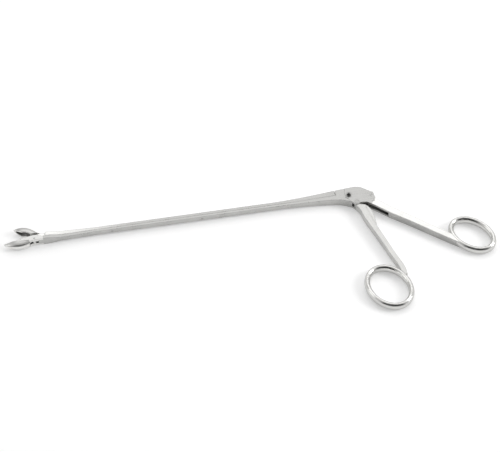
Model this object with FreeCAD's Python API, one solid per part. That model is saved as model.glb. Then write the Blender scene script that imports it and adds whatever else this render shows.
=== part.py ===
import FreeCAD, Part
import math
import os

# Biopsy forceps lying on its side, in millimetres.
# The origin is on the main pivot axis at the lower flat face. +X runs back along the shaft to the handles,
# +Y is the sliding bar's side, and +Z is up, along every hinge axis.
# At rest the jaws and the handles are open. Squeezing turns the front handle, whose lug pushes the sliding
# bar forward, which turns the upper jaw down onto the fixed one.

os.makedirs("parts", exist_ok=True)
Vector = FreeCAD.Vector
UP = Vector(0, 0, 1)
ALONG_Y = Vector(0, 1, 0)
ORIGIN = Vector(0, 0, 0)

# Clearances: each side of a running fit, between faces at rest, and beyond a face for a clean cut.
RUNNING = 0.05
REST_GAP = 0.3
SEAT = 0.03
BEYOND = 1.0

# Thicknesses across the instrument.
THICKNESS = 6.4
MIDDLE = THICKNESS / 2
BAR_WIDTH = 3.5
SLIDE_WIDTH = BAR_WIDTH - 2 * RUNNING
FORK_SLOT = 3.2
TONGUE_WIDTH = FORK_SLOT - 2 * RUNNING
LUG_SLOT = 1.3
LUG_WIDTH = LUG_SLOT - 2 * RUNNING
JAW_WIDTH = 6.0
TAIL_SLOT = 1.9
TAIL_WIDTH = TAIL_SLOT - 2 * RUNNING
SHANK_WIDTH = 5.4
HANDLE_HEAD_WIDTH = 6.0
WEDGE_REACH = 40.0

# Motion, from rest to fully squeezed.
HANDLE_CLOSE_DEG = 17.0
JAW_CLOSE_DEG = 38.0
DRIVE_X = -4.0
DRIVE_Y = 5.9
SLIDE_TRAVEL = DRIVE_Y * math.radians(HANDLE_CLOSE_DEG)
CAM_POINTS = 9

# Pins and studs.
MAIN_PIN_R = 0.9
MAIN_HEAD_R = 1.4
MAIN_HEAD_DEPTH = 0.5
HUB_R = 1.7
FORK_LIP_R = 2.0
DRIVE_PIN_R = 0.7
SIGHT_HOLE_R = 1.3
DIMPLE_R = 2.3
DIMPLE_DEPTH = 0.35
JAW_PIN_R = 0.6
JAW_DRIVE_R = 0.5
TAIL_HUB_R = 1.15
TANG_PIN_R = 0.7
TANG_PINS = ((9.6, 3.6), (10.4, -0.6))
STUD_R = 0.7
STUD_HEAD_R = 1.2
STUD_HEAD_DEPTH = 0.7

# Levels of the shaft along Y.
SEAM_Y = 7.1
SLIDE_FLOOR_Y = SEAM_Y + RUNNING
BAR_FLOOR_Y = 5.5
SLIDE_TOP_Y = 8.95
STUD_TOP_Y = SLIDE_TOP_Y - RUNNING
NOSE_FLOOR_Y = 4.95
NOSE_TOP_Y = 9.7

# Jaw hinge, and the stations of the shaft's head measured back from it.
JAW_X = -200.6
JAW_Y = SEAM_Y - 1.0
JAW_DRIVE_X = JAW_X + 2.4
JAW_DRIVE_Y = SEAM_Y + 1.5
BAR_FRONT = JAW_X + 2.6
CHEEK_BACK = JAW_X + 5.4
NOSE_FRONT = JAW_DRIVE_X - 1.2
NOSE_SHOULDER = JAW_X + 7.0
HEAD_BACK = JAW_X + 9.0
NECK = JAW_X + 17.0
RISE_BACK = JAW_X + 38.0
STUD_STATIONS = [JAW_X * share for share in (0.76, 0.48, 0.2)]

# Joint block at the back of the shaft.
FORK_FRONT = -12.0
SLOT_FRONT = -9.6
SLIDE_SHOULDER = FORK_FRONT - REST_GAP

# Cups: rims, and stations of X from the hinge, half width and depth from the rim.
LOWER_RIM = 0.2
LOWER_CUP = (
    (-2.8, 2.8, 2.9), (-6.4, 2.9, 4.0), (-10.4, 2.85, 4.3), (-13.6, 2.3, 3.6),
    (-16.4, 1.3, 2.4), (-18.7, 0.25, 1.0),
)
LOWER_HOLLOW = ((-4.2, 1.85, 1.7), (-6.9, 1.9, 2.3), (-10.4, 1.85, 2.6), (-13.0, 1.3, 1.8), (-15.2, 0.4, 0.6))
UPPER_RIM = LOWER_RIM + REST_GAP
UPPER_CUP = (
    (0.2, 2.85, 5.5), (-3.2, 2.95, 5.65), (-6.0, 2.95, 5.7), (-9.0, 2.85, 5.1), (-12.0, 2.3, 3.7),
    (-14.2, 1.3, 2.0), (-15.3, 0.4, 0.9),
)
UPPER_HOLLOW = ((-4.5, 1.9, 4.4), (-6.5, 1.9, 4.5), (-9.0, 1.85, 4.0), (-11.8, 1.3, 2.6), (-13.6, 0.5, 1.0))
WALL_FRONT = -9.2
WALL_TOP = 1.9
WALL = 1.0
WINDOW_FRONT = -9.8
WINDOW_BACK = -6.6
WINDOW_R = 1.2

# Finger rings: centre, half lengths of the middle line and the turn of the long axis, then their section.
FRONT_RING = {"centre": (7.5, -64.6), "long": 15.3, "short": 12.0, "turn": -61.2}
REAR_RING = {"centre": (65.5, -35.0), "long": 14.4, "short": 9.8, "turn": -46.2}
RING_BAND = 3.6
RING_HEIGHT = 5.8


def point(x, y, z=0.0):
    return Vector(x, y, z)


def from_hinge(points):
    """Points measured from the jaw hinge, in the instrument's frame."""
    return [(JAW_X + x, JAW_Y + y) for x, y in points]


def curve(points):
    spline = Part.BSplineCurve()
    spline.interpolate([point(x, y) for x, y in points])
    return spline.toShape()


def lines(points):
    return [Part.makeLine(point(*a), point(*b)) for a, b in zip(points, points[1:])]


def slab(edges, width):
    """Extrude a closed chain of edges across the instrument, centred on its middle."""
    face = Part.Face(Part.Wire(Part.__sortEdges__(edges)))
    face.translate(point(0, 0, MIDDLE - width / 2))
    return face.extrude(point(0, 0, width))


def plate(points, width):
    return slab(lines(points + [points[0]]), width)


def box_plate(x_range, y_range, width):
    (x0, x1), (y0, y1) = x_range, y_range
    return plate([(x0, y0), (x0, y1), (x1, y1), (x1, y0)], width)


def disc(x, y, radius, width):
    return Part.makeCylinder(radius, width, point(x, y, MIDDLE - width / 2), UP)


def turned(x, y, degrees):
    angle = math.radians(degrees)
    cosine = math.cos(angle)
    sine = math.sin(angle)
    return x * cosine - y * sine, x * sine + y * cosine


def joined(first, *others):
    return first.fuse(list(others)).removeSplitter()


def largest(shape):
    return max(shape.Solids, key=lambda solid: solid.Volume)


def cam_slot(path, radius, width):
    """A slot of constant half width along a path of points, for a pin to travel in."""
    left = []
    right = []
    for i, (x, y) in enumerate(path):
        before = path[max(i - 1, 0)]
        after = path[min(i + 1, len(path) - 1)]
        run = math.hypot(after[0] - before[0], after[1] - before[1])
        across_x = (before[1] - after[1]) / run * radius
        across_y = (after[0] - before[0]) / run * radius
        left.append((x + across_x, y + across_y))
        right.append((x - across_x, y - across_y))
    ends = lines([left[0], right[0]]) + lines([left[-1], right[-1]])
    band = slab([curve(left), curve(right)] + ends, width)
    return joined(band, disc(*path[0], radius, width), disc(*path[-1], radius, width))


def shares(count):
    return [i / (count - 1) for i in range(count)]


def handle_cam_path():
    """Where the drive pin lies in the front handle as both move."""
    path = []
    for share in shares(CAM_POINTS):
        x = DRIVE_X - SLIDE_TRAVEL * share
        path.append(turned(x, DRIVE_Y, -HANDLE_CLOSE_DEG * share))
    return path


def jaw_cam_path():
    """Where the jaw drive pin lies in the closed upper jaw, measured from the hinge."""
    path = []
    for share in shares(CAM_POINTS):
        x = JAW_DRIVE_X - JAW_X - SLIDE_TRAVEL * share
        y = JAW_DRIVE_Y - JAW_Y
        path.append(turned(x, y, JAW_CLOSE_DEG * (1 - share)))
    return path


def shaft_plan(width, head_front):
    """Plan of a bar: narrow between the cheeks, wide at the head, slim, then widening to the joint block."""
    slim = width / 2
    head = JAW_WIDTH / 2
    root = slim + 1.25
    halves = [(JAW_X - 5, slim), (head_front, slim), (head_front, head), (HEAD_BACK, head), (NECK, slim)]
    halves += [(-42.0, slim), (-26.0, slim + 0.35), (-14.0, slim + 0.95), (-6.0, root), (4.0, root)]
    near = [(x, -half) for x, half in halves]
    far = [(x, half) for x, half in reversed(halves)]
    block = Part.Face(Part.Wire(lines(near + far + [near[0]]))).extrude(point(0, 0, 40))
    block.rotate(ORIGIN, point(1, 0, 0), -90)
    block.translate(point(0, -20, MIDDLE))
    return block


def upright_slot(x_range, radius, floor, top):
    """A round-ended slot that runs along X and is cut from above the bar downwards."""
    start, end = x_range
    depth = top - floor
    middle = Part.makeBox(end - start, depth, 2 * radius, point(start, floor, MIDDLE - radius))
    holes = [Part.makeCylinder(radius, depth, point(x, floor, MIDDLE), ALONG_Y) for x in x_range]
    return joined(middle, *holes)


def ring_point(ring, angle, reach):
    """A point on a ring's middle oval at that angle, moved out by reach."""
    x = (ring["long"] + reach) * math.cos(math.radians(angle))
    y = (ring["short"] + reach) * math.sin(math.radians(angle))
    x, y = turned(x, y, ring["turn"])
    return ring["centre"][0] + x, ring["centre"][1] + y


def ring_solid(ring, growth=0.0):
    """Oval ring swept from an oval section."""
    spine = Part.Wire(Part.Ellipse(ORIGIN, ring["long"], ring["short"]).toShape())
    start = point(ring["long"], 0)
    crest = point(ring["long"], 0, RING_HEIGHT / 2 + growth)
    side = point(ring["long"] + RING_BAND / 2 + growth, 0)
    section = Part.Wire(Part.Ellipse(crest, side, start).toShape())
    shape = spine.makePipeShell([section], True, True)
    shape.rotate(ORIGIN, UP, ring["turn"])
    shape.translate(point(*ring["centre"], MIDDLE))
    return shape


def main_pin():
    """Pivot pin of the handles, its ends spread flush into countersinks."""
    shank = disc(0, 0, MAIN_PIN_R, THICKNESS)
    low = Part.makeCone(MAIN_HEAD_R, MAIN_PIN_R, MAIN_HEAD_DEPTH, ORIGIN, UP)
    top = THICKNESS - MAIN_HEAD_DEPTH
    high = Part.makeCone(MAIN_PIN_R, MAIN_HEAD_R, MAIN_HEAD_DEPTH, point(0, 0, top), UP)
    return joined(shank, low, high)


def tang_holes():
    return [disc(x, y, TANG_PIN_R, 2 * THICKNESS) for x, y in TANG_PINS]


def tang_pins():
    """Flush pins that lock the rear handle in the joint block."""
    return Part.makeCompound([disc(x, y, TANG_PIN_R, THICKNESS) for x, y in TANG_PINS])


def stud_shank(x):
    return Part.makeCylinder(STUD_R, STUD_TOP_Y - BAR_FLOOR_Y, point(x, BAR_FLOOR_Y, MIDDLE), ALONG_Y)


def guide_studs():
    """Headed studs that hold the slide down on the lower bar."""
    studs = []
    for x in STUD_STATIONS:
        seat = point(x, STUD_TOP_Y - STUD_HEAD_DEPTH, MIDDLE)
        studs.append(joined(stud_shank(x), Part.makeCylinder(STUD_HEAD_R, STUD_HEAD_DEPTH, seat, ALONG_Y)))
    return Part.makeCompound(studs)


def stud_window(x):
    """Slot and head recess in the slide over one stud, as long as the travel."""
    x_range = (x - RUNNING, x + SLIDE_TRAVEL + RUNNING)
    top = SLIDE_TOP_Y + BEYOND
    slot = upright_slot(x_range, STUD_R + RUNNING, SLIDE_FLOOR_Y - BEYOND, top)
    recess_floor = STUD_TOP_Y - STUD_HEAD_DEPTH - RUNNING
    return joined(slot, upright_slot(x_range, STUD_HEAD_R + RUNNING, recess_floor, top))


def dimples():
    """Shallow bowls round the two sight holes over the drive pin."""
    sphere_r = (DIMPLE_R ** 2 + DIMPLE_DEPTH ** 2) / (2 * DIMPLE_DEPTH)
    levels = (THICKNESS + sphere_r - DIMPLE_DEPTH, DIMPLE_DEPTH - sphere_r)
    return [Part.makeSphere(sphere_r, point(DRIVE_X, DRIVE_Y, z)) for z in levels]


def fixed_shaft():
    """Lower bar, widening into the slotted block that carries the handles."""
    front = [(BAR_FRONT, NOSE_FLOOR_Y), (BAR_FRONT, SEAM_Y), (FORK_FRONT, SEAM_Y), (FORK_FRONT, 10.75)]
    edges = lines(front)
    crown = [(-8.4, 10.95), (-2.7, 11.15), (1.1, 11.3), (4.0, 10.5), (6.5, 8.9), (11.2, 5.7)]
    edges.append(curve([front[-1]] + crown))
    edges += lines([(11.2, 5.7), (11.9, 1.0), (8.7, -3.1), (6.2, -1.2), (1.8, -0.87)])
    edges.append(Part.Arc(point(1.8, -0.87), point(0.0, -FORK_LIP_R), point(-1.8, -0.87)).toShape())
    edges += lines([(-1.8, -0.87), (-2.7, 0.3)])
    belly = [(-2.7, 0.3), (-4.4, 1.1), (-7.9, 2.6), (-15.2, 4.0), (-22.6, 4.65), (-30.0, 5.05)]
    belly.append((-45.0, BAR_FLOOR_Y))
    edges.append(curve(belly))
    edges += lines([belly[-1], (RISE_BACK, BAR_FLOOR_Y), (NECK, NOSE_FLOOR_Y), front[0]])
    flats = [(-5.3, 14.0), (-6.3, 8.2), (-6.3, 4.2), (-4.6, 3.0), (-2.2, -4.0), (14.0, -4.0), (14.0, 14.0)]
    flats = plate(flats, THICKNESS)
    body = slab(edges, THICKNESS).common(joined(shaft_plan(BAR_WIDTH, CHEEK_BACK), flats))
    floor = [(FORK_FRONT - BEYOND, SEAM_Y), (SLOT_FRONT, SEAM_Y), (SLOT_FRONT, 3.9), (-6.6, 2.75)]
    floor.append((-2.75, 0.75))
    around = [(-2.65, -4.0), (13.0, -4.0), (13.0, 14.0), (FORK_FRONT - BEYOND, 14.0)]
    tail_room = box_plate((BAR_FRONT - BEYOND, BAR_FRONT + 2.6), (JAW_Y, JAW_Y + 1.9), TAIL_SLOT)
    cutters = [plate(floor + around, FORK_SLOT), tail_room, main_pin()]
    cutters.append(disc(DRIVE_X, DRIVE_Y, SIGHT_HOLE_R, 2 * THICKNESS))
    cutters += dimples() + tang_holes() + [stud_shank(x) for x in STUD_STATIONS]
    return largest(body.cut(cutters))


def slide_bar():
    """Upper bar with its forked nose and its forked tail."""
    shoulder = (SLIDE_SHOULDER, 10.7)
    edges = lines([(NOSE_FRONT, SLIDE_FLOOR_Y), (SLIDE_SHOULDER, SLIDE_FLOOR_Y), shoulder])
    swell = [shoulder, (-20.0, 10.35), (-30.0, 9.75), (-42.0, 9.2), (-60.0, SLIDE_TOP_Y)]
    edges.append(curve(swell))
    rise = [(RISE_BACK, SLIDE_TOP_Y), (JAW_X + 30.0, SLIDE_TOP_Y + 0.25), (NECK, NOSE_TOP_Y)]
    edges += lines([swell[-1], rise[0]])
    edges.append(curve(rise + [(HEAD_BACK, NOSE_TOP_Y)]))
    front = [(HEAD_BACK, NOSE_TOP_Y), (NOSE_FRONT + 1.2, NOSE_TOP_Y), (NOSE_FRONT, NOSE_TOP_Y - 0.7)]
    edges += lines(front + [(NOSE_FRONT, SLIDE_FLOOR_Y)])
    bar = slab(edges, THICKNESS).common(shaft_plan(SLIDE_WIDTH, NOSE_SHOULDER))
    tail = [(SLIDE_SHOULDER - BEYOND, SLIDE_FLOOR_Y), (-5.6, SLIDE_FLOOR_Y), (-5.6, 4.9), (-5.0, 4.3)]
    tail += [(-3.0, 4.3), (-2.2, 5.1), (-2.2, 9.6), (-3.0, 10.3), (SLIDE_SHOULDER - BEYOND, 10.3)]
    bar = joined(bar, plate(tail, TONGUE_WIDTH))
    tail_fork = box_plate((-9.0, 0.0), (3.0, 12.0), LUG_SLOT)
    nose_height = (SEAM_Y - BEYOND, NOSE_TOP_Y + BEYOND)
    nose_fork = box_plate((NOSE_FRONT - BEYOND, NOSE_FRONT + 3.8), nose_height, TAIL_SLOT)
    drive_hole = disc(DRIVE_X, DRIVE_Y, DRIVE_PIN_R, THICKNESS)
    jaw_hole = disc(JAW_DRIVE_X, JAW_DRIVE_Y, JAW_DRIVE_R, THICKNESS)
    windows = [stud_window(x) for x in STUD_STATIONS]
    return largest(bar.cut([tail_fork, nose_fork, drive_hole, jaw_hole] + windows))


def taper(start, end, first, last):
    """A wedge whose thickness falls evenly from one value to another between two Y stations."""
    fall = (first - last) / (start - end) / 2
    halves = [(y, first / 2 - (start - y) * fall) for y in (start + WEDGE_REACH, end - WEDGE_REACH)]
    corners = [point(0, y, half) for y, half in halves]
    corners += [point(0, y, -half) for y, half in reversed(halves)]
    face = Part.Face(Part.makePolygon(corners + [corners[0]]))
    face.translate(point(-WEDGE_REACH, 0, MIDDLE))
    return face.extrude(point(4 * WEDGE_REACH, 0, 0))


def front_shank():
    """Front handle: hub and lug inside the block, then the head, stepped web and tapering shank."""
    hub = disc(0, 0, HUB_R, TONGUE_WIDTH)
    neck = [(-1.6, -0.3), (-0.6, -2.6), (2.0, -7.0), (5.0, -7.0), (6.4, -3.3), (1.5, 0.6)]
    neck = plate(neck, TONGUE_WIDTH)
    lug = [(-2.0, 1.1), (-4.9, 4.6), (-5.3, 5.6), (-5.0, 8.4), (-4.2, 9.0), (-2.6, 8.8), (-1.9, 6.0)]
    lug = plate(lug + [(1.6, 1.4), (0.0, 0.0)], LUG_WIDTH)
    web = [(2.0, -2.6), (6.4, -3.3), (8.2, -7.0), (9.0, -12.0), (9.1, -20.5), (6.0, -20.5)]
    web = plate(web, TONGUE_WIDTH)
    lip = FORK_LIP_R + REST_GAP
    edges = [Part.Arc(point(-1.0, -2.07), point(0.05, -lip), point(1.1, -2.02)).toShape()]
    outer_end = ring_point(FRONT_RING, 88.0, 1.9)
    inner_end = ring_point(FRONT_RING, 95.0, -0.9)
    edges += lines([(1.1, -2.02), (5.0, -3.1), (4.7, -5.6), (7.6, -16.5), (9.0, -21.0)])
    edges.append(curve([(9.0, -21.0), (13.0, -33.0), (16.9, -45.0), (19.6, -53.4), outer_end]))
    edges += lines([outer_end, inner_end])
    front = [inner_end, (16.4, -53.0), (13.9, -45.0), (9.9, -33.2), (5.9, -21.5), (3.7, -15.5), (2.2, -10.7)]
    edges.append(curve(front + [(1.1, -5.8), (0.2, -3.9), (-1.0, -2.07)]))
    shank = slab(edges, THICKNESS).common(taper(0.0, -60.0, HANDLE_HEAD_WIDTH, SHANK_WIDTH))
    shank = joined(shank, hub, neck, lug, web)
    bore = disc(0, 0, MAIN_PIN_R + RUNNING, THICKNESS)
    cam = cam_slot(handle_cam_path(), DRIVE_PIN_R + RUNNING, THICKNESS)
    return largest(shank.cut([bore, cam, ring_solid(FRONT_RING, SEAT)]))


def rear_shank():
    """Rear handle: tang held in the block, slotted root and tapering shank."""
    tang = plate([(4.4, 2.6), (10.9, 5.3), (11.9, 1.0), (8.7, -3.1), (7.4, -0.4)], FORK_SLOT)
    ends = [ring_point(REAR_RING, angle, reach) for angle, reach in ((-70, 0.1), (-80, -0.5), (-110, -0.3))]
    ends.append(ring_point(REAR_RING, -130, 1.2))
    lower = [(8.7, -3.1), (13.1, -6.6), (17.4, -10.4), (26.4, -17.3), (35.1, -24.2), (48.3, -34.8)]
    lower.append((57.0, -41.4))
    upper = [ends[-1], (37.3, -21.2), (28.7, -14.1), (18.6, -5.9), (14.0, -1.4), (11.9, 1.0)]
    edges = lines([(11.9, 1.0), (8.7, -3.1)])
    edges.append(curve(lower + [ends[0]]))
    edges += lines(ends)
    edges.append(curve(upper))
    body = slab(edges, THICKNESS).common(taper(1.5, -46.0, THICKNESS, SHANK_WIDTH))
    body = joined(body, tang)
    slot = plate([(6.6, -4.0), (7.4, -0.4), (9.4, -1.2), (18.6, -9.0), (17.6, -11.6), (9.0, -5.0)], FORK_SLOT)
    return largest(body.cut([slot, ring_solid(REAR_RING, SEAT)] + tang_holes()))


def bowl(stations, rim, way):
    """Loft half ovals along X from the jaw hinge; way is 1 for a bowl above its rim and -1 below."""
    outline = ((0.0, -1.0), (0.5, -0.93), (0.84, -0.71), (1.0, 0.0), (0.84, 0.71), (0.5, 0.93), (0.0, 1.0))
    wires = []
    for x, half_width, depth in stations:
        section = []
        for down, across in outline:
            section.append(point(x, rim + way * depth * down, MIDDLE + half_width * across))
        arc = Part.BSplineCurve()
        arc.interpolate(section)
        wires.append(Part.Wire([arc.toShape(), Part.makeLine(section[-1], section[0])]))
    return Part.makeLoft(wires, True, False)


def fixed_jaw():
    """Lower cup with the cheeks that carry the jaw hinge."""
    cup = bowl(LOWER_CUP, LOWER_RIM, -1)
    cup = cup.cut(bowl(LOWER_HOLLOW, LOWER_RIM, -1))
    cup.translate(point(JAW_X, JAW_Y))
    back = CHEEK_BACK - JAW_X
    low = NOSE_FLOOR_Y - JAW_Y
    wall = [(WALL_FRONT, LOWER_RIM - 1.0), (WALL_FRONT, LOWER_RIM), (-7.6, WALL_TOP - 0.5), (-3.0, WALL_TOP)]
    wall += [(-3.0, LOWER_RIM - 1.0)]
    walls = plate(from_hinge(wall), JAW_WIDTH).cut(plate(from_hinge(wall), JAW_WIDTH - 2 * WALL))
    cheek = [(-3.3, -1.9), (-3.3, WALL_TOP), (-0.6, 2.4), (0.7, 2.4)]
    cheek += [(4.2, 1.4), (back, 0.8), (back, low), (-1.6, low), (-2.3, low - 0.3)]
    body = joined(cup, walls, plate(from_hinge(cheek), JAW_WIDTH))
    ahead, behind, above, below = JAW_X - 1.4, CHEEK_BACK + BEYOND, JAW_Y + 4, JAW_Y - 3
    slide_room = box_plate((ahead, behind), (SEAM_Y, above), BAR_WIDTH)
    bar_room = box_plate((BAR_FRONT, behind), (below, above), BAR_WIDTH)
    tail_room = box_plate((JAW_X - 3.1, BAR_FRONT + BEYOND), (below, above), TAIL_SLOT)
    tail_mouth = box_plate((JAW_X - 4.2, JAW_X - 3.0), (JAW_Y + LOWER_RIM, above), TAIL_SLOT)
    pin_hole = disc(JAW_X, JAW_Y, JAW_PIN_R, 2 * THICKNESS)
    return largest(body.cut([slide_room, bar_room, tail_room, tail_mouth, pin_hole]))


def upper_jaw():
    """Cutting cup that closes onto the lower cup, with a sample window and a driven tail."""
    heel_room = [(WALL_FRONT - REST_GAP, 0.0), (WALL_FRONT - REST_GAP, UPPER_RIM + 0.1)]
    heel_room += [(-7.6, WALL_TOP), (-3.2, WALL_TOP + 0.7), (-1.6, 4.1), (0.4, 5.6), (1.0, 5.6), (1.0, 0.0)]
    heel_room = plate(heel_room, 2 * THICKNESS)
    tail = [(-3.8, 0.9), (-3.8, 4.4), (-1.0, 5.4), (1.1, 4.7), (1.65, 3.5), (1.6, 2.2), (1.1, 0.4)]
    tail = plate(tail + [(0.0, -0.8), (-1.0, -0.7)], TAIL_WIDTH)
    cup = bowl(UPPER_CUP, UPPER_RIM, 1).cut(heel_room)
    body = joined(cup, tail, disc(0, 0, TAIL_HUB_R, TAIL_WIDTH))
    window = upright_slot((WINDOW_FRONT, WINDOW_BACK), WINDOW_R, UPPER_RIM, UPPER_RIM + 12)
    bore = disc(0, 0, JAW_PIN_R + RUNNING, THICKNESS)
    cam = cam_slot(jaw_cam_path(), JAW_DRIVE_R + RUNNING, THICKNESS)
    body = largest(body.cut([bowl(UPPER_HOLLOW, UPPER_RIM, 1), window, bore, cam]))
    body.rotate(ORIGIN, UP, -JAW_CLOSE_DEG)
    body.translate(point(JAW_X, JAW_Y))
    return body


PARTS = {
    "fixed_shaft": fixed_shaft(),
    "fixed_jaw": fixed_jaw(),
    "slide_bar": slide_bar(),
    "upper_jaw": upper_jaw(),
    "front_shank": front_shank(),
    "front_ring": ring_solid(FRONT_RING),
    "rear_shank": rear_shank(),
    "rear_ring": ring_solid(REAR_RING),
    "main_pivot_pin": main_pin(),
    "slide_drive_pin": disc(DRIVE_X, DRIVE_Y, DRIVE_PIN_R, TONGUE_WIDTH),
    "jaw_pivot_pin": disc(JAW_X, JAW_Y, JAW_PIN_R, JAW_WIDTH),
    "jaw_drive_pin": disc(JAW_DRIVE_X, JAW_DRIVE_Y, JAW_DRIVE_R, SLIDE_WIDTH),
    "tang_pins": tang_pins(),
    "guide_studs": guide_studs(),
}

for name, shape in PARTS.items():
    print(name, shape.isValid(), len(shape.Solids), round(shape.Volume, 2))
    shape.exportStep("parts/" + name + ".step")
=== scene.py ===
import bpy
import math
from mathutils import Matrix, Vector

MM = 0.001

# Camera: the photograph's direction, aim and scale.
AZIMUTH = math.radians(-9.75)
ELEVATION = math.radians(54.0)
AIM = Vector((-68.1, -5.1, 3.2)) * MM
DISTANCE = 1.6
VIEW_WIDTH = 308.6 * MM
SENSOR = 36.0

# Where along the slide its flats get a painted sheen, turning brighter towards the jaws.
SHEEN_FRONT = -195.0 * MM
SHEEN_BACK = -140.0 * MM

# Steel: scales of the noises over a metre, and the tones that they reach.
GRAIN_SCALE = (90.0, 2600.0, 2600.0)
CLOUD_SCALE = 140.0
PIT_SCALE = 2200.0
CLOUD_TONES = (0.9, 1.06)
GRAIN_TONES = (0.93, 1.05)
GRAIN_DEPTH = 0.02 * MM
WORN_GAIN = 1.15
# Painted shade: ambient occlusion darkens crevices, slots and holes towards this tone.
CREVICE_SHADE_REACH = 4.0 * MM
CREVICE_SHADE_TONE = 0.03
CREVICE_SHADE_DARK = 0.25
CREVICE_SHADE_CLEAR = 0.75

# Studio: the world's strength and its dark round card, and the floor's glow and share of it in reflections.
WORLD_LIT = 0.62
WORLD_DARK = 0.02
CARD_ELEVATION = math.radians(22.0)
CARD_INNER = math.radians(42.0)
CARD_OUTER = math.radians(50.0)
FLOOR_GLOW = 0.33
GLOSSY_SHARE = 0.6
FLOOR_HALF = 6.0


def grey(value):
    """Steel's colour at that level: a grey a touch warmer than neutral."""
    return (value, value * 0.995, value * 0.97, 1.0)


class Graph:
    """A material's node tree, with short calls to add and link its nodes."""

    def __init__(self, name):
        self.material = bpy.data.materials.new(name)
        self.material.use_nodes = True
        self.nodes = self.material.node_tree.nodes
        self.links = self.material.node_tree.links
        self.nodes.clear()
        self.output = self.nodes.new("ShaderNodeOutputMaterial")

    def add(self, kind, **values):
        node = self.nodes.new(kind)
        for key, value in values.items():
            if hasattr(node, key):
                setattr(node, key, value)
            else:
                socket = node.inputs[key.replace("_", " ")]
                if isinstance(value, bpy.types.NodeSocket):
                    self.links.new(value, socket)
                else:
                    socket.default_value = value
        return node

    def noise(self, vector, scale, detail=3.0):
        return self.add("ShaderNodeTexNoise", Vector=vector, Scale=scale, Detail=detail).outputs["Fac"]

    def stretched(self, scale, turn=0.0):
        """Object coordinates turned about Z and scaled, for grain that runs one way."""
        place = self.add("ShaderNodeTexCoord").outputs["Object"]
        turned = self.add("ShaderNodeVectorRotate", rotation_type="Z_AXIS", Vector=place, Angle=-turn)
        return self.add("ShaderNodeMapping", Vector=turned.outputs[0], Scale=scale).outputs[0]

    def math(self, operation, first, second):
        node = self.add("ShaderNodeMath", operation=operation)
        self.links.new(first, node.inputs[0])
        self.links.new(second, node.inputs[1])
        return node.outputs[0]

    def blended(self, factor, first, second):
        return self.mixed_color("MIX", factor, first, second)

    def times(self, first, second):
        return self.mixed_color("MULTIPLY", 1.0, first, second)

    def mixed_color(self, blend, factor, first, second):
        node = self.add("ShaderNodeMix", data_type="RGBA", blend_type=blend)
        for socket, value in ((node.inputs[0], factor), (node.inputs[6], first), (node.inputs[7], second)):
            if isinstance(value, bpy.types.NodeSocket):
                self.links.new(value, socket)
            else:
                socket.default_value = value
        return node.outputs[2]

    def toned(self, value, tones):
        """A noise turned into a grey between the two tones, to multiply a colour with."""
        low, high = tones
        return self.blended(self.ranged(value, 0.0, 1.0), (low, low, low, 1.0), (high, high, high, 1.0))

    def rise(self, value, start, end):
        """0 up to start, 1 from end on, and a straight line between them."""
        node = self.add("ShaderNodeMapRange", Value=value)
        node.inputs["From Min"].default_value = start
        node.inputs["From Max"].default_value = end
        return node.outputs[0]

    def level_face_shade_mask(self):
        """1 on faces that lie level, 0 on upright ones: the mask that paints light and shade differently on
        flats and sides.
        """
        normal = self.add("ShaderNodeNewGeometry").outputs["True Normal"]
        axes = self.add("ShaderNodeSeparateXYZ", Vector=normal)
        steep = self.add("ShaderNodeMath", operation="ABSOLUTE")
        self.links.new(axes.outputs["Z"], steep.inputs[0])
        return self.rise(steep.outputs[0], 0.75, 0.95)

    def edge_mask(self, radius):
        """1 on outer edges and 0 on open faces, from how far a rounded edge turns the normal."""
        bevel = self.add("ShaderNodeBevel", samples=4, Radius=radius)
        normal = self.add("ShaderNodeNewGeometry").outputs["True Normal"]
        alike = self.add("ShaderNodeVectorMath", operation="DOT_PRODUCT")
        self.links.new(bevel.outputs[0], alike.inputs[0])
        self.links.new(normal, alike.inputs[1])
        return self.rise(alike.outputs["Value"], 0.95, 0.75)

    def ranged(self, value, low, high):
        """The middle of a noise's values spread out from low to high."""
        node = self.add("ShaderNodeMapRange", Value=value)
        node.inputs["From Min"].default_value = 0.3
        node.inputs["From Max"].default_value = 0.7
        node.inputs["To Min"].default_value = low
        node.inputs["To Max"].default_value = high
        return node.outputs[0]


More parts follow.
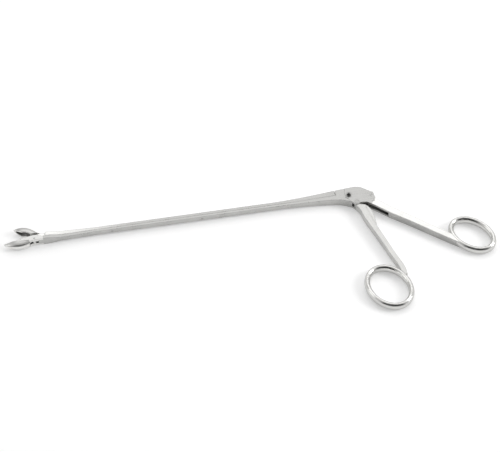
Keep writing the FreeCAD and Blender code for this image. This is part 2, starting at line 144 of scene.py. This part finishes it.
def steel(name, flats_painted_shade, sides_painted_shade, roughness, turn=0.0, scratch=0.12, spread=0.05, edge=0.25 * MM, sheen_tone=None):
    """Stainless steel: grain that runs one way, cloudy tone, fine pits, worn edges, painted light and shade
    by face direction and painted shade in crevices.

    flats_painted_shade is painted light and shade: the tone of the ground upper and lower faces, and
    sides_painted_shade that of everything between them, each set to how light falls there. turn is the
    grain's direction about Z, scratch the strength of its bump and spread how far it changes the roughness.
    Where sheen_tone is given, the flats reach that painted sheen tone at the jaws' end of the slide."""
    g = Graph(name)
    grain = g.noise(g.stretched(GRAIN_SCALE, turn), 1.0, 4.0)
    place = g.add("ShaderNodeTexCoord").outputs["Object"]
    cloud = g.noise(place, CLOUD_SCALE, 4.0)
    pits = g.noise(place, PIT_SCALE, 2.0)
    level = grey(flats_painted_shade)
    # Painted sheen: the slide's flats turn brighter towards the jaws.
    if sheen_tone:
        along = g.add("ShaderNodeSeparateXYZ", Vector=place).outputs["X"]
        level = g.blended(g.rise(along, SHEEN_BACK, SHEEN_FRONT), grey(flats_painted_shade), grey(sheen_tone))
    # Painted light and shade: level and upright faces get different tones.
    shade_and_grain = g.blended(g.level_face_shade_mask(), grey(sides_painted_shade), level)
    shade_and_grain = g.times(g.times(shade_and_grain, g.toned(cloud, CLOUD_TONES)), g.toned(grain, GRAIN_TONES))
    worn = g.blended(g.edge_mask(edge), shade_and_grain, grey((flats_painted_shade + sides_painted_shade) / 2 * WORN_GAIN))
    # Painted shade: the steel darkens in crevices, slots and holes by ambient occlusion.
    crevice_shade = g.add("ShaderNodeAmbientOcclusion", samples=8, only_local=True, Distance=CREVICE_SHADE_REACH)
    clear = g.rise(crevice_shade.outputs["AO"], CREVICE_SHADE_DARK, CREVICE_SHADE_CLEAR)
    color = g.blended(clear, grey(CREVICE_SHADE_TONE), worn)
    grain_dull = g.ranged(grain, roughness - spread, roughness + spread)
    dull = g.math("ADD", grain_dull, g.ranged(cloud, -spread, spread))
    rounded = g.add("ShaderNodeBevel", samples=4, Radius=edge).outputs[0]
    height = g.math("ADD", grain, pits)
    bump = g.add("ShaderNodeBump", Strength=scratch, Distance=GRAIN_DEPTH, Height=height, Normal=rounded)
    shader = g.add("ShaderNodeBsdfPrincipled", Metallic=1.0, Normal=bump.outputs[0])
    g.links.new(color, shader.inputs["Base Color"])
    g.links.new(dull, shader.inputs["Roughness"])
    g.links.new(shader.outputs[0], g.output.inputs[0])
    return g.material


def floor_material():
    """Pale floor that reads white to the camera and in reflections, and keeps the shadow."""
    g = Graph("studio_floor")
    matt = g.add("ShaderNodeBsdfDiffuse", Color=(0.8, 0.8, 0.8, 1.0))
    glow = g.add("ShaderNodeEmission", Color=(1.0, 1.0, 1.0, 1.0), Strength=FLOOR_GLOW)
    lit = g.add("ShaderNodeAddShader")
    g.links.new(matt.outputs[0], lit.inputs[0])
    g.links.new(glow.outputs[0], lit.inputs[1])
    path = g.add("ShaderNodeLightPath")
    part = g.add("ShaderNodeMath", operation="MULTIPLY")
    g.links.new(path.outputs["Is Glossy Ray"], part.inputs[0])
    part.inputs[1].default_value = GLOSSY_SHARE
    seen = g.math("MAXIMUM", path.outputs["Is Camera Ray"], part.outputs[0])
    mix = g.add("ShaderNodeMixShader", Fac=seen)
    g.links.new(matt.outputs[0], mix.inputs[1])
    g.links.new(lit.outputs[0], mix.inputs[2])
    g.links.new(mix.outputs[0], g.output.inputs[0])
    return g.material


def add_floor():
    mesh = bpy.data.meshes.new("floor")
    corners = [(x * FLOOR_HALF, y * FLOOR_HALF, 0) for x, y in ((-1, -1), (1, -1), (1, 1), (-1, 1))]
    mesh.from_pydata(corners, [], [(0, 1, 2, 3)])
    floor = bpy.data.objects.new("floor", mesh)
    bpy.context.scene.collection.objects.link(floor)
    mesh.materials.append(floor_material())


def toward(azimuth, elevation):
    """Unit vector from the object to a camera or lamp in that direction."""
    level = math.cos(elevation)
    return Vector((math.sin(azimuth) * level, -math.cos(azimuth) * level, math.sin(elevation)))


def add_camera():
    data = bpy.data.cameras.new("camera")
    data.sensor_width = SENSOR
    data.lens = DISTANCE * SENSOR / VIEW_WIDTH
    camera = bpy.data.objects.new("camera", data)
    back = toward(AZIMUTH, ELEVATION)
    camera.location = AIM + back * DISTANCE
    camera.rotation_euler = back.to_track_quat("Z", "Y").to_euler()
    bpy.context.scene.collection.objects.link(camera)
    bpy.context.scene.camera = camera


def add_lamp(name, azimuth, elevation, distance, size, radiance):
    """A softbox of even radiance that faces the object. Its two angles are in degrees."""
    data = bpy.data.lights.new(name, "AREA")
    data.shape = "RECTANGLE"
    data.size, data.size_y = size
    data.energy = radiance * math.pi * size[0] * size[1]
    lamp = bpy.data.objects.new(name, data)
    back = toward(math.radians(azimuth), math.radians(elevation))
    lamp.location = AIM + back * distance
    lamp.rotation_euler = back.to_track_quat("Z", "Y").to_euler()
    bpy.context.scene.collection.objects.link(lamp)


def add_world():
    """Pale studio, with a dark card beside the photographer for polished steel to show."""
    world = bpy.data.worlds.new("studio")
    world.use_nodes = True
    nodes = world.node_tree.nodes
    links = world.node_tree.links
    card = nodes.new("ShaderNodeVectorMath")
    card.operation = "DOT_PRODUCT"
    links.new(nodes.new("ShaderNodeTexCoord").outputs["Generated"], card.inputs[0])
    card.inputs[1].default_value = toward(AZIMUTH, CARD_ELEVATION)
    fade = nodes.new("ShaderNodeMapRange")
    fade.interpolation_type = "SMOOTHSTEP"
    links.new(card.outputs["Value"], fade.inputs["Value"])
    fade.inputs["From Min"].default_value = math.cos(CARD_OUTER)
    fade.inputs["From Max"].default_value = math.cos(CARD_INNER)
    fade.inputs["To Min"].default_value = WORLD_LIT
    fade.inputs["To Max"].default_value = WORLD_DARK
    room = nodes["Background"]
    room.inputs["Color"].default_value = (1.0, 1.0, 1.0, 1.0)
    links.new(fade.outputs[0], room.inputs["Strength"])
    backdrop = nodes.new("ShaderNodeBackground")
    backdrop.inputs["Color"].default_value = (1.0, 1.0, 1.0, 1.0)
    mix = nodes.new("ShaderNodeMixShader")
    links.new(nodes.new("ShaderNodeLightPath").outputs["Is Camera Ray"], mix.inputs[0])
    links.new(room.outputs[0], mix.inputs[1])
    links.new(backdrop.outputs[0], mix.inputs[2])
    links.new(mix.outputs[0], nodes["World Output"].inputs[0])
    bpy.context.scene.world = world


def dress(nodes):
    """Give every CAD node its steel. rear and front are the handles' directions, for their grain."""
    rear = math.radians(-38.6)
    front = math.radians(-72.0)
    # Painted light and shade: each finish's first two tones, for level and upright faces, are set part by
    # part to the light on that part.
    finishes_and_painted_shade = {
        "shaft_satin": steel("shaft_satin", 0.39, 0.62, 0.3, edge=0.35 * MM),
        "slide_satin": steel("slide_satin", 0.38, 0.62, 0.28, edge=0.35 * MM, sheen_tone=0.66),
        "cup_satin": steel("cup_satin", 0.58, 0.94, 0.36),
        "front_satin": steel("front_satin", 0.48, 0.74, 0.28, front),
        "rear_satin": steel("rear_satin", 0.64, 0.6, 0.26, rear),
        "ring_polish": steel("ring_polish", 0.72, 0.72, 0.18, rear, 0.05, 0.02, edge=1.5 * MM),
        "pin_ground": steel("pin_ground", 0.35, 0.45, 0.3, scratch=0.2),
        # Near black: painted shade where the drive pin sits deep in the sight hole.
        "pin_painted_shade": steel("pin_painted_shade", 0.01, 0.01, 0.7, scratch=0.4),
    }
    wear = {
        "fixed_shaft": "shaft_satin",
        "fixed_jaw": "cup_satin",
        "slide_bar": "slide_satin",
        "upper_jaw": "cup_satin",
        "front_shank": "front_satin",
        "rear_shank": "rear_satin",
        "front_ring": "ring_polish",
        "rear_ring": "ring_polish",
        "slide_drive_pin": "pin_painted_shade",
    }
    for name, node in nodes.items():
        node.data.materials.clear()
        node.data.materials.append(finishes_and_painted_shade[wear.get(name, "pin_ground")])


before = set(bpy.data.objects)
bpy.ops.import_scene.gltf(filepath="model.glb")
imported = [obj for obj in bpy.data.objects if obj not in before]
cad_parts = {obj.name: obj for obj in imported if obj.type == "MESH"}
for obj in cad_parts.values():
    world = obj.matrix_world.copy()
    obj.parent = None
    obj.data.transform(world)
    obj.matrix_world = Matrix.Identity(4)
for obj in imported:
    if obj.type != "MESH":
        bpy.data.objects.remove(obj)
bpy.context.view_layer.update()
bpy.context.scene.view_settings.view_transform = "Standard"
dress(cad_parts)
add_floor()
add_camera()
add_lamp("key_panel", azimuth=165.0, elevation=56.0, distance=1.6, size=(1.5, 1.2), radiance=1.1)
add_lamp("left_panel", azimuth=-95.0, elevation=28.0, distance=1.5, size=(0.7, 0.8), radiance=1.2)
add_lamp("right_panel", azimuth=80.0, elevation=34.0, distance=1.5, size=(0.55, 0.55), radiance=9.0)
add_world()
